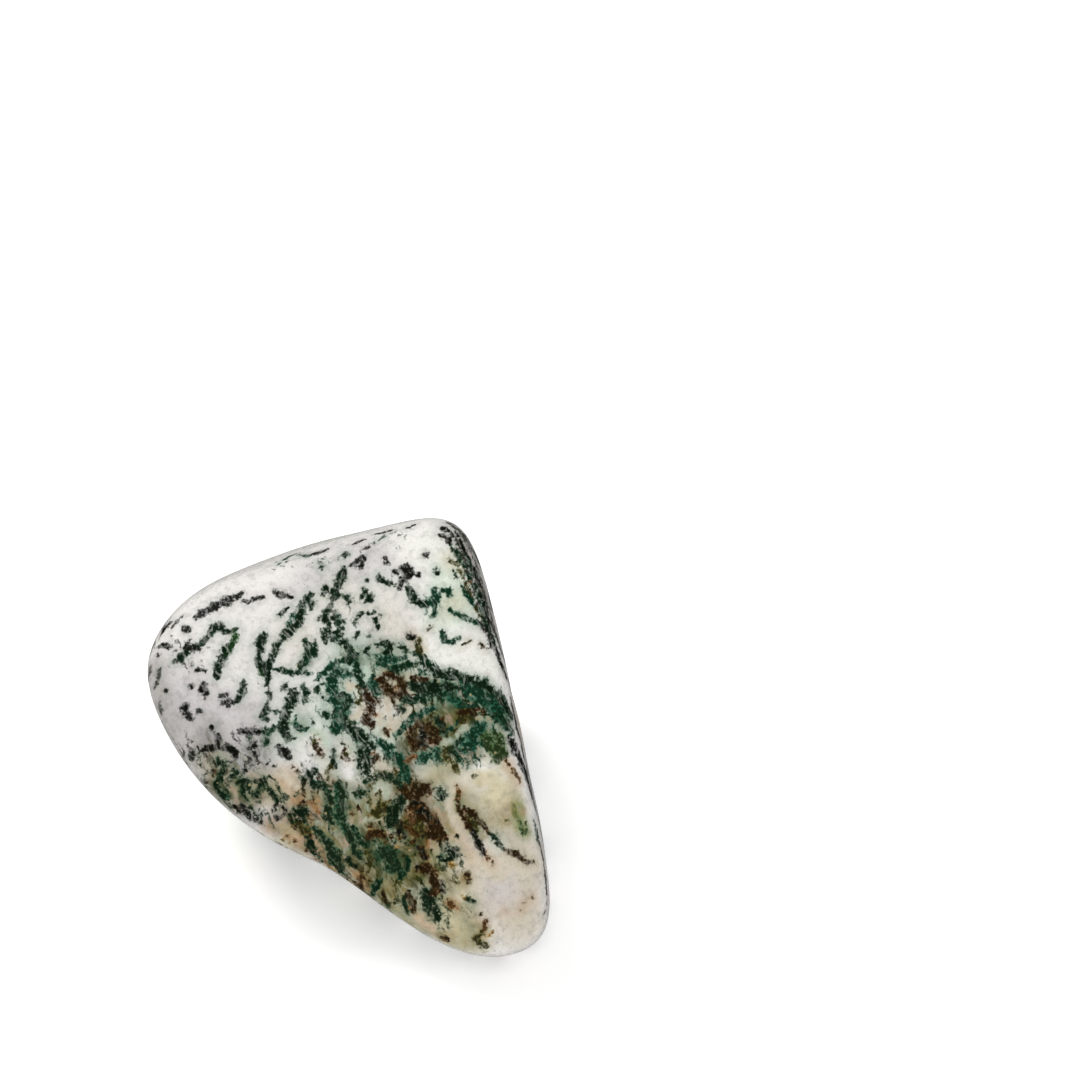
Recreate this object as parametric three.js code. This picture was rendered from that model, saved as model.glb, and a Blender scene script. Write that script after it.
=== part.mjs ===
// A tumbled tree agate: one chunk of white chalcedony with green, tree-like inclusions, broken to rough
// faces and then worn round in a tumbler. Units are millimetres and +Z is up. The stone lies on its
// flattest worn face, at z = 0, with the middle of its outline over the origin, and its widest
// polished face slopes down towards -Y.

import * as THREE from "three";
import { mergeVertices } from "three/addons/utils/BufferGeometryUtils.js";

// The heart is the point that all the faces are measured from. It is this high above the ground.
const HEART_HEIGHT = 10.2;

// How tightly neighbouring faces meet. A lower number is a stone that tumbled for longer.
const EDGE_TIGHTNESS = 9;

// The broken faces, each square to a direction and at a distance from the heart.
// Azimuth turns from +X towards +Y and elevation is above the horizon, both in degrees.
const FACES = [
  { name: "front slope", azimuth: -86, elevation: 57, distance: 10.8 },
  { name: "top", azimuth: 130, elevation: 68, distance: 21.5 },
  { name: "crest", azimuth: 113, elevation: 40, distance: 20.2 },
  { name: "shoulder", azimuth: 33, elevation: 27, distance: 27.0 },
  { name: "right flank", azimuth: 9, elevation: 8, distance: 16.8 },
  { name: "tip side", azimuth: -37, elevation: -26, distance: 29.6 },
  { name: "tip underside", azimuth: -88, elevation: -36, distance: 22.9 },
  { name: "lower left", azimuth: -131, elevation: -34, distance: 11.8 },
  { name: "left underside", azimuth: -157, elevation: -20, distance: 14.6 },
  { name: "left end", azimuth: 162, elevation: 15, distance: 21.9 },
  { name: "left crest", azimuth: 143, elevation: 31, distance: 31.0 },
  { name: "back", azimuth: 80, elevation: -6, distance: 17.2 },
  { name: "back foot", azimuth: 92, elevation: -42, distance: 15.5 },
  { name: "back left", azimuth: 132, elevation: -22, distance: 17.0 },
  { name: "base", azimuth: 0, elevation: -90, distance: 11.3 },
];

// Shallow hollows left by old chips. Width and height are where a hollow has faded to about a third.
const HOLLOWS = [
  { name: "waist", azimuth: -90, elevation: -8, width: 25, height: 42, depth: 1.5 },
  { name: "flank dip", azimuth: 12, elevation: 2, width: 22, height: 16, depth: 0.5 },
  { name: "back dip", azimuth: 112, elevation: 2, width: 20, height: 24, depth: 0.9 },
  { name: "left scoop", azimuth: 176, elevation: -6, width: 18, height: 20, depth: 0.7 },
];

// A slow unevenness all over, which keeps the worn faces from being true planes.
const SWELL_HEIGHT = 0.14;
const SWELL_LENGTH = 13;

// The last part of the base is worn flat: heights below this are eased into the ground.
const EASING_HEIGHT = 0.6;

// IcosahedronGeometry makes 20 * (detail + 1)^2 triangles.
const DETAIL = 20;

const degrees = THREE.MathUtils.degToRad;

function direction(azimuth, elevation) {
  const level = Math.cos(degrees(elevation));
  return new THREE.Vector3(
    level * Math.cos(degrees(azimuth)),
    level * Math.sin(degrees(azimuth)),
    Math.sin(degrees(elevation)),
  );
}

for (const face of FACES) {
  face.normal = direction(face.azimuth, face.elevation);
}

// How far the blended faces are from the heart along a unit vector.
function wornReach(along) {
  let sum = 0;
  for (const face of FACES) {
    sum += Math.max(0, along.dot(face.normal) / face.distance) ** EDGE_TIGHTNESS;
  }
  return sum ** (-1 / EDGE_TIGHTNESS);
}

// How much a hollow takes away along a unit vector.
function hollowDepth(hollow, along) {
  const azimuth = THREE.MathUtils.radToDeg(Math.atan2(along.y, along.x));
  const elevation = THREE.MathUtils.radToDeg(Math.asin(along.z));
  const turn = THREE.MathUtils.euclideanModulo(azimuth - hollow.azimuth + 180, 360) - 180;
  const across = (turn * Math.cos(degrees(elevation))) / hollow.width;
  const up = (elevation - hollow.elevation) / hollow.height;
  return hollow.depth * Math.exp(-across * across - up * up);
}

// The slow unevenness at a point: three waves that cross each other.
function swell(point) {
  const turns = (2 * Math.PI) / SWELL_LENGTH;
  const waves =
    Math.sin(turns * (point.x + 0.4 * point.y) + 0.7) +
    Math.sin(turns * (point.y - 0.5 * point.z) + 2.1) +
    Math.sin(turns * (0.8 * point.z + 0.3 * point.x) + 4.0);
  return (SWELL_HEIGHT * waves) / 3;
}

// Eases heights near the ground onto it, so that the stone rests on a flat face without a hard rim.
function settled(height) {
  if (height <= -EASING_HEIGHT) return 0;
  if (height >= EASING_HEIGHT) return height;
  return (height + EASING_HEIGHT) ** 2 / (4 * EASING_HEIGHT);
}

// The point of the stone's skin that lies from the heart along a unit vector.
function skinPoint(along) {
  let reach = wornReach(along);
  for (const hollow of HOLLOWS) {
    reach -= hollowDepth(hollow, along);
  }
  reach += swell(along.clone().multiplyScalar(reach));
  const point = along.clone().multiplyScalar(reach);
  point.z = settled(point.z + HEART_HEIGHT);
  return point;
}

// A fine ball of triangles, each corner moved out or in along its own radius to the skin.
function stoneGeometry() {
  const ball = new THREE.IcosahedronGeometry(1, DETAIL);
  ball.deleteAttribute("normal");
  ball.deleteAttribute("uv");
  const skin = mergeVertices(ball, 1e-5);
  const corners = skin.getAttribute("position");
  const along = new THREE.Vector3();
  for (let i = 0; i < corners.count; i++) {
    along.fromBufferAttribute(corners, i).normalize();
    const point = skinPoint(along);
    corners.setXYZ(i, point.x, point.y, point.z);
  }
  skin.computeVertexNormals();
  return skin;
}

const agate = new THREE.MeshStandardMaterial({
  name: "tree agate",
  color: 0xc9ccc4,
  roughness: 0.25,
  metalness: 0,
});

const stone = new THREE.Mesh(stoneGeometry(), agate);
stone.name = "stone";

// Puts the middle of the outline, seen from above, over the origin.
const middle = new THREE.Box3().setFromObject(stone).getCenter(new THREE.Vector3());
stone.position.set(-middle.x, -middle.y, 0);

const treeAgate = new THREE.Group();
treeAgate.name = "tree agate";
treeAgate.add(stone);

export default treeAgate;
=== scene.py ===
"""The looks of a tumbled tree agate: its fine skin, its tree-like inclusions, its polish and a plain studio.

The stone's form repeats the faces and hollows of the CAD model, in millimetres, on a finer mesh. Marks are
painted on that mesh as a density and a colour for each point, and the material breaks them into grains.
Marks that the photograph shows are placed by its pixels, and the hidden sides are grown in the same style.
"""

import math

import bmesh
import bpy
import numpy as np
from mathutils import Matrix, Vector
from mathutils.bvhtree import BVHTree
from mathutils.kdtree import KDTree


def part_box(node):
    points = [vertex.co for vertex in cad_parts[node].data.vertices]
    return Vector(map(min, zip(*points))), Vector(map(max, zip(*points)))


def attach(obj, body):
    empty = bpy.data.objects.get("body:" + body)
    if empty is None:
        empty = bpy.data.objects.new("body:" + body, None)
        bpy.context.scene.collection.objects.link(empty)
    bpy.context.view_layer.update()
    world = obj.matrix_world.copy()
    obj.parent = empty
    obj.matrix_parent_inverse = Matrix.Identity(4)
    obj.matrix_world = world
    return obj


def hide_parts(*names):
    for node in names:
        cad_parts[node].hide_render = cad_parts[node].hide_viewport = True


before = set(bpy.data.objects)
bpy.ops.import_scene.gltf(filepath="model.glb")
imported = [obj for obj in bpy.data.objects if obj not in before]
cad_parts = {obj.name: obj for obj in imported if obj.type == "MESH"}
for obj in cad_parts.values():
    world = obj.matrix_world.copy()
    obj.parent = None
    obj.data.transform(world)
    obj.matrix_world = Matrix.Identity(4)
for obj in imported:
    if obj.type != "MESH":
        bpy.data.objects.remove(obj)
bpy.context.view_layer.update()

# A millimetre, in the frame's metres.
MM = 0.001

# The form. Angles are in degrees and lengths in millimetres, as in the CAD model.
HEART_HEIGHT = 10.2
EDGE_TIGHTNESS = 9
SWELL_HEIGHT = 0.14
SWELL_LENGTH = 13
EASING_HEIGHT = 0.6

# Each worn face: azimuth, elevation and distance from the heart.
FACES = {
    "front slope": (-86, 57, 10.8),
    "top": (130, 68, 21.5),
    "crest": (113, 40, 20.2),
    "shoulder": (33, 27, 27.0),
    "right flank": (9, 8, 16.8),
    "tip side": (-37, -26, 29.6),
    "tip underside": (-88, -36, 22.9),
    "lower left": (-131, -34, 11.8),
    "left underside": (-157, -20, 14.6),
    "left end": (162, 15, 21.9),
    "left crest": (143, 31, 31.0),
    "back": (80, -6, 17.2),
    "back foot": (92, -42, 15.5),
    "back left": (132, -22, 17.0),
    "base": (0, -90, 11.3),
}

# Each shallow hollow: azimuth, elevation, width, height and depth.
HOLLOWS = {
    "waist": (-90, -8, 25, 42, 1.5),
    "flank dip": (12, 2, 22, 16, 0.5),
    "back dip": (112, 2, 20, 24, 0.9),
    "left scoop": (176, -6, 18, 20, 0.7),
}

# The form starts as a ball of triangles, split this many times. It is then remade in quads of this width,
# and keeps this far inside the CAD model's skin.
BALL_SUBDIVISIONS = 6
QUAD = 0.262
INSET = 0.02

# The photograph: a square frame, a lens and a sensor in millimetres, and how far the camera looks down.
# The stone's heart is at a pixel of it and a depth in millimetres, where a pixel is PIXEL millimetres wide.
FRAME_PIXELS = 1080
LENS = 100
SENSOR = 36
CAMERA_ELEVATION = 48
HEART_PIXEL = (350, 740)
HEART_DEPTH = 298
FOCAL_PIXELS = FRAME_PIXELS * LENS / SENSOR
PIXEL = HEART_DEPTH / FOCAL_PIXELS

# Colours of the inclusions and of the chalcedony around them, in sRGB from 0 to 255.
COLOURS = {
    "jet": (38, 42, 34),
    "pine": (28, 66, 40),
    "teal": (22, 98, 74),
    "deep": (22, 80, 52),
    "moss": (70, 104, 54),
    "leaf": (56, 116, 62),
    "fir": (44, 82, 54),
    "umber": (82, 54, 8),
    "rust": (142, 96, 46),
    "olive": (94, 92, 32),
    "gold": (196, 158, 88),
    "slate": (128, 128, 128),
    "snow": (255, 254, 246),
    "ice": (240, 250, 234),
    "white": (246, 243, 238),
    "violet": (216, 211, 210),
    "dusk": (170, 167, 164),
    "mint": (206, 222, 204),
    "peach": (218, 194, 164),
    "apricot": (188, 150, 112),
    "cream": (226, 216, 182),
    "khaki": (182, 174, 134),
    "silt": (148, 136, 92),
    "bog": (108, 100, 60),
    "fern": (112, 144, 118),
    "ochre": (172, 142, 76),
    "lime": (150, 160, 84),
    "pool": (58, 96, 82),
    "shell": (222, 211, 190),
    "sage": (190, 197, 175),
}

# The tint that each kind of inclusion spreads into the chalcedony around it.
HALOS = {
    "jet": "dusk",
    "pine": "fern",
    "teal": "fern",
    "deep": "fern",
    "moss": "sage",
    "leaf": "fern",
    "fir": "fern",
    "umber": "silt",
    "rust": "apricot",
    "olive": "khaki",
    "gold": "cream",
    "slate": "dusk",
}

# The colour that shows here and there at the sides of each kind of inclusion.
COMPANIONS = {
    "jet": "slate",
    "pine": "teal",
    "teal": "pine",
    "deep": "moss",
    "moss": "olive",
    "leaf": "teal",
    "fir": "deep",
    "umber": "rust",
    "rust": "gold",
    "olive": "umber",
    "gold": "olive",
    "slate": "jet",
}
COMPANION_CHANCE = 0.4

# Lines of inclusions in the photograph: colour, width and then the pixels that the line goes through.
LINES = [
    # The left end
    ("jet", 6, (167, 624), (164, 629), (161, 634)),
    ("slate", 3, (182, 616), (177, 620), (171, 629)),
    ("jet", 4, (158, 649), (162, 646), (166, 645), (170, 648), (174, 650)),
    ("jet", 4, (184, 649), (188, 645), (191, 640)),
    ("jet", 6, (191, 650), (195, 647), (199, 648)),
    ("pine", 5, (174, 663), (178, 660), (183, 656), (190, 652)),
    ("slate", 4, (159, 669), (158, 676), (157, 683), (153, 689)),
    ("slate", 5, (150, 668), (148, 680), (149, 694), (153, 706)),
    ("jet", 6, (151, 703), (154, 710), (157, 716)),
    ("jet", 4, (158, 720), (163, 731), (170, 744)),
    ("slate", 4, (160, 701), (160, 708), (161, 714)),
    ("jet", 3, (195, 671), (200, 670), (206, 672)),
    ("jet", 6, (202, 683), (203, 688), (205, 694)),
    ("jet", 5, (180, 709), (183, 713), (188, 717), (192, 720)),
    # The left lobe
    ("jet", 6, (196, 617), (201, 613), (208, 610)),
    ("jet", 7, (208, 610), (216, 606), (225, 602), (232, 599), (238, 597)),
    ("jet", 4, (243, 601), (250, 602), (256, 599), (262, 598)),
    ("jet", 6, (276, 591), (283, 595), (291, 598)),
    ("pine", 6, (209, 634), (213, 629), (218, 627), (224, 631), (229, 631)),
    ("leaf", 6, (233, 632), (235, 636), (233, 641)),
    ("pine", 5, (236, 630), (239, 628)),
    ("pine", 6, (230, 645), (225, 652), (221, 659), (218, 668), (216, 677)),
    ("leaf", 4, (235, 640), (229, 649), (223, 657)),
    ("pine", 5, (209, 636), (203, 641), (198, 646), (190, 648)),
    ("pine", 5, (244, 681), (243, 690), (240, 697), (236, 701)),
    # The long stem and its neighbours
    ("pine", 7, (309, 595), (305, 603), (301, 611), (297, 622), (290, 630), (284, 636)),
    ("pine", 5, (284, 636), (278, 645), (274, 654), (269, 664), (268, 673), (268, 684)),
    ("pine", 3, (268, 684), (269, 693), (268, 703)),
    ("pine", 4, (279, 614), (284, 611), (289, 608)),
    ("pine", 7, (264, 633), (261, 642), (260, 650)),
    ("pine", 7, (257, 656), (260, 666), (264, 672)),
    ("deep", 4, (273, 669), (284, 670), (295, 673), (304, 672), (312, 674)),
    ("deep", 6, (304, 641), (309, 649), (304, 660), (300, 669)),
    ("deep", 4, (309, 652), (315, 657)),
    ("pine", 4, (286, 684), (283, 690)),
    ("pine", 7, (293, 689), (292, 698), (288, 705), (284, 714), (284, 724), (286, 732), (288, 739)),
    ("deep", 4, (288, 739), (295, 738)),
    ("teal", 3, (297, 717), (300, 731), (308, 727)),
    ("pine", 6, (345, 568), (342, 576), (338, 583), (334, 591), (332, 598)),
    ("pine", 5, (331, 604), (327, 611), (325, 619), (328, 628), (324, 636)),
    ("pine", 4, (336, 599), (341, 596), (347, 598)),
    ("deep", 4, (335, 612), (337, 620), (341, 628), (336, 636), (341, 644)),
    ("deep", 4, (318, 640), (314, 647), (317, 654)),
    # The top edge
    ("deep", 3, (278, 565), (287, 558), (295, 554), (302, 555), (311, 556)),
    ("jet", 4, (312, 554), (320, 552), (327, 549)),
    ("jet", 3, (352, 544), (359, 541), (365, 539)),
    ("jet", 3, (376, 534), (385, 532), (394, 530)),
    ("jet", 3, (363, 550), (370, 547)),
    ("deep", 3, (379, 540), (386, 535)),
    ("jet", 3, (408, 528), (415, 525)),
    # Below the apex
    ("pine", 4, (379, 574), (380, 579), (387, 583), (394, 585)),
    ("jet", 6, (398, 573), (404, 569), (411, 573), (404, 579), (400, 587)),
    ("pine", 6, (409, 588), (411, 594), (414, 599), (420, 603), (427, 604)),
    ("teal", 7, (427, 604), (433, 601), (436, 594), (434, 590)),
    ("teal", 5, (434, 605), (434, 612), (431, 617)),
    ("teal", 5, (441, 589), (447, 591), (448, 596)),
    ("pine", 4, (454, 572), (457, 578)),
    ("teal", 4, (449, 609), (458, 614), (469, 618), (481, 625)),
    ("teal", 5, (439, 631), (443, 638), (451, 641), (459, 637)),
    ("olive", 2, (460, 645), (471, 641)),
    ("umber", 3, (431, 626), (426, 630)),
    ("pine", 4, (416, 644), (419, 650), (415, 654)),
    # The stripes of the right flank
    ("jet", 6, (441, 535), (446, 538), (450, 543)),
    ("slate", 5, (447, 523), (460, 531), (470, 545), (478, 560), (484, 575), (488, 592), (492, 612)),
    ("jet", 3, (443, 526), (454, 536), (464, 549), (472, 563), (479, 582), (485, 602), (490, 622)),
    ("pine", 4, (456, 550), (462, 558), (468, 566), (473, 576)),
    ("deep", 3, (448, 543), (456, 553), (463, 566), (470, 581), (477, 598), (483, 614), (489, 630)),
    ("olive", 3, (446, 560), (454, 563), (460, 570), (465, 581), (470, 593), (476, 606), (482, 619)),
    ("teal", 5, (461, 587), (466, 594), (472, 601), (479, 609)),
    ("slate", 3, (458, 529), (468, 546), (475, 562), (480, 576),
     (484, 590), (488, 605), (492, 619), (496, 635)),
    ("jet", 2.5, (455, 531), (465, 549), (471, 563), (475, 577),
     (479, 591), (483, 606), (488, 622), (493, 640)),
    ("slate", 3, (453, 534), (462, 551), (467, 565), (471, 580), (476, 596), (480, 611)),
    ("pine", 3, (456, 541), (467, 557), (475, 575), (481, 595), (486, 615), (493, 640), (500, 664)),
    ("deep", 3, (460, 560), (468, 572), (475, 588), (481, 606), (487, 624)),
    ("jet", 5, (480, 624), (488, 635), (494, 648), (500, 661), (506, 675), (511, 688)),
    ("slate", 5, (491, 620), (497, 638), (503, 655), (509, 672), (514, 690)),
    ("pine", 4, (482, 618), (490, 632), (497, 646)),
    ("umber", 3, (480, 643), (487, 648)),
    # The dark band across the middle
    ("pine", 6, (428, 667), (442, 674), (458, 676), (470, 680),
     (482, 684), (494, 692), (505, 704), (512, 716)),
    ("pine", 6, (422, 684), (432, 686), (442, 686), (458, 688)),
    ("teal", 10, (466, 689), (478, 695), (490, 700), (503, 712)),
    ("deep", 6, (495, 708), (505, 720), (512, 732)),
    ("teal", 5, (446, 696), (456, 702), (466, 706), (476, 706)),
    ("umber", 6, (460, 712), (470, 712), (483, 710)),
    ("olive", 4, (454, 720), (462, 720), (471, 718)),
    ("deep", 4, (482, 714), (492, 716), (500, 724)),
    # The net in the middle
    ("deep", 6, (342, 660), (350, 661), (356, 664), (358, 675), (362, 684), (363, 690)),
    ("pine", 5, (355, 656), (349, 648), (345, 641)),
    ("teal", 5, (342, 660), (332, 664), (324, 673), (316, 680)),
    ("teal", 8, (349, 676), (341, 674), (334, 677), (331, 686), (334, 693)),
    ("deep", 7, (342, 696), (350, 700), (346, 707)),
    ("teal", 9, (332, 696), (337, 703), (342, 712), (338, 724), (335, 731)),
    ("deep", 5, (336, 715), (329, 716), (324, 713)),
    ("pine", 8, (346, 724), (352, 730), (358, 734), (366, 740), (370, 748)),
    ("olive", 4, (356, 686), (360, 696), (357, 703)),
    ("umber", 7, (365, 692), (369, 700), (371, 710), (369, 720), (374, 726)),
    ("teal", 6, (373, 676), (374, 686), (379, 695)),
    ("teal", 5, (374, 664), (382, 661), (390, 658), (398, 660), (406, 656)),
    ("deep", 6, (390, 668), (398, 669), (406, 666), (418, 664)),
    ("deep", 6, (414, 654), (420, 656), (426, 660), (434, 668)),
    ("olive", 5, (418, 638), (418, 646), (421, 653)),
    ("umber", 6, (384, 678), (392, 677), (401, 680), (404, 687), (400, 693), (392, 692), (390, 684)),
    ("umber", 5, (378, 680), (384, 684), (387, 690)),
    ("pine", 7, (408, 684), (414, 686), (422, 690), (430, 692), (443, 690)),
    ("umber", 5, (412, 678), (420, 680), (428, 679)),
    ("deep", 6, (404, 698), (412, 700), (420, 700), (428, 700)),
    ("pine", 5, (400, 702), (403, 708), (404, 714)),
    ("pine", 5, (378, 644), (384, 642), (390, 646), (388, 652), (382, 652)),
    ("pine", 4, (398, 646), (406, 648), (403, 652)),
    ("pine", 4, (371, 645), (366, 650), (369, 656)),
    ("teal", 5, (396, 737), (402, 729), (410, 721), (418, 716), (426, 711), (434, 708)),
    ("umber", 7, (416, 724), (412, 733), (414, 742), (420, 749)),
    ("umber", 7, (425, 727), (429, 734), (430, 741)),
    ("jet", 6, (423, 729), (420, 736), (422, 743), (427, 746)),
    ("pine", 8, (438, 719), (441, 726), (443, 733)),
    ("teal", 7, (380, 740), (386, 746), (391, 752), (398, 760), (404, 771), (407, 781)),
    ("umber", 4, (384, 728), (388, 735)),
    ("deep", 4, (323, 698), (318, 690), (321, 684)),
    ("deep", 5, (302, 686), (306, 694), (303, 702)),
    # Around the moss blob
    ("teal", 9, (475, 731), (470, 740), (466, 749)),
    ("deep", 5, (468, 758), (468, 766)),
    ("deep", 4, (458, 742), (455, 750), (459, 757)),
    ("jet", 6, (511, 700), (515, 718), (520, 740), (526, 764), (531, 788), (537, 814), (543, 840)),
    ("jet", 7, (509, 738), (516, 750), (521, 762), (526, 776), (530, 789), (533, 799)),
    ("rust", 3, (505, 760), (512, 770), (520, 781)),
    ("olive", 5, (443, 748), (446, 758), (452, 762), (457, 772)),
    # The left foot of the net
    ("jet", 4, (199, 752), (207, 748), (218, 747), (226, 748)),
    ("jet", 4, (218, 735), (219, 746)),
    ("jet", 5, (229, 745), (235, 752), (238, 758)),
    ("jet", 5, (240, 731), (250, 730), (259, 732)),
    ("jet", 4, (255, 739), (255, 746)),
    ("jet", 4, (250, 748), (255, 755), (260, 762)),
    ("slate", 3, (244, 761), (249, 765), (253, 768)),
    ("jet", 6, (279, 748), (286, 754), (290, 759)),
    ("pine", 6, (219, 759), (224, 767), (222, 775), (217, 783), (220, 791), (225, 800)),
    ("pine", 4, (238, 783), (247, 780), (250, 787), (242, 791), (247, 799)),
    ("pine", 5, (255, 780), (263, 783), (271, 791), (276, 799), (283, 806)),
    ("jet", 5, (234, 806), (239, 811), (243, 806), (248, 816), (255, 820), (260, 823)),
    ("jet", 3, (272, 808), (278, 804), (284, 810), (280, 818), (273, 815), (272, 808)),
    # The lower middle
    ("fir", 6, (324, 785), (328, 799), (327, 814), (332, 824)),
    ("fir", 6, (339, 782), (341, 792), (342, 806), (342, 818), (348, 830), (354, 844), (360, 858)),
    ("teal", 3, (335, 786), (337, 800), (336, 813), (341, 826), (347, 838)),
    ("deep", 5, (352, 826), (357, 836), (366, 848)),
    ("fir", 7, (314, 829), (324, 840), (332, 850), (340, 860), (343, 869)),
    ("deep", 5, (328, 857), (338, 869), (346, 876)),
    ("pine", 5, (306, 838), (314, 850), (322, 860)),
    ("fir", 7, (355, 792), (362, 794), (368, 791)),
    ("fir", 5, (365, 782), (373, 777), (385, 776), (397, 780), (402, 787)),
    ("pine", 8, (362, 752), (364, 762), (367, 772)),
    ("umber", 6, (376, 757), (372, 765)),
    ("pine", 4, (333, 751), (333, 759), (335, 767)),
    ("umber", 4, (346, 749), (344, 756), (348, 759)),
    ("olive", 3, (329, 775), (326, 784)),
    ("pine", 9, (401, 800), (394, 811), (389, 824)),
    ("olive", 6, (380, 806), (376, 812), (384, 816)),
    ("umber", 6, (368, 837), (376, 832), (384, 836)),
    ("umber", 7, (420, 788), (429, 790)),
    ("pine", 4, (437, 788), (443, 791), (442, 799), (437, 796)),
    ("umber", 7, (416, 805), (425, 815), (433, 820), (440, 827)),
    ("rust", 6, (409, 812), (410, 822), (412, 831)),
    ("jet", 6, (413, 803), (420, 811), (428, 817), (436, 822)),
    ("umber", 7, (430, 829), (437, 834), (443, 838)),
    ("umber", 6, (420, 848), (424, 853), (428, 857)),
    ("pine", 8, (447, 849), (453, 852), (450, 858)),
    ("pine", 5, (445, 861), (439, 858)),
    ("umber", 8, (421, 868), (429, 872), (435, 880)),
    ("jet", 8, (441, 882), (443, 889)),
    ("jet", 5, (418, 866), (425, 869), (431, 877)),
    ("jet", 5, (419, 847), (423, 852), (425, 858)),
    ("pine", 8, (424, 890), (427, 899), (433, 908), (439, 920)),
    ("umber", 5, (409, 893), (412, 902), (414, 911)),
    ("fir", 4, (403, 896), (405, 905), (408, 914)),
    ("fir", 12, (381, 853), (391, 855), (399, 863)),
    ("fir", 8, (399, 863), (394, 869), (386, 868)),
    ("deep", 5, (408, 858), (406, 868), (400, 878)),
    ("deep", 5, (382, 878), (377, 886), (373, 896)),
    ("fir", 3, (384, 900), (387, 908), (391, 914)),
    ("umber", 5, (359, 876), (361, 884), (363, 890)),
    ("umber", 5, (384, 894), (385, 903)),
    ("umber", 6, (466, 874), (468, 882)),
    ("pine", 5, (467, 899), (475, 903)),
    ("rust", 6, (449, 904), (455, 907)),
    ("umber", 6, (441, 937), (448, 940)),
    ("deep", 4, (388, 914), (396, 920)),
    ("deep", 4, (411, 930), (422, 934)),
    ("olive", 4, (366, 852), (370, 862), (368, 872)),
    ("pine", 4, (352, 852), (350, 862), (356, 868)),
    ("rust", 4, (486, 921), (484, 930)),
    # The forked vein near the tip
    ("rust", 5, (457, 786), (458, 794), (456, 801)),
    ("umber", 5, (457, 801), (460, 809), (464, 816)),
    ("umber", 5, (463, 815), (467, 822), (471, 830)),
    ("jet", 5, (471, 828), (476, 838), (481, 848), (484, 854)),
    ("olive", 5, (468, 816), (474, 824), (480, 832)),
    ("umber", 4, (464, 807), (471, 813), (478, 820), (484, 827), (489, 834)),
    ("pine", 5, (489, 834), (495, 840), (503, 848)),
    ("umber", 4, (503, 848), (510, 852), (517, 855), (525, 861), (534, 863)),
    ("rust", 3, (484, 852), (488, 857), (492, 864)),
    # The tip's right side
    ("moss", 3, (518, 819), (520, 826), (523, 833)),
    ("moss", 3, (526, 822), (527, 829), (524, 836)),
    ("pine", 5, (534, 822), (536, 832), (539, 843)),
    ("jet", 3, (538, 836), (541, 850), (544, 866), (546, 880), (547, 895)),
    ("slate", 2, (547, 895), (546, 908), (542, 920)),
]

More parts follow.
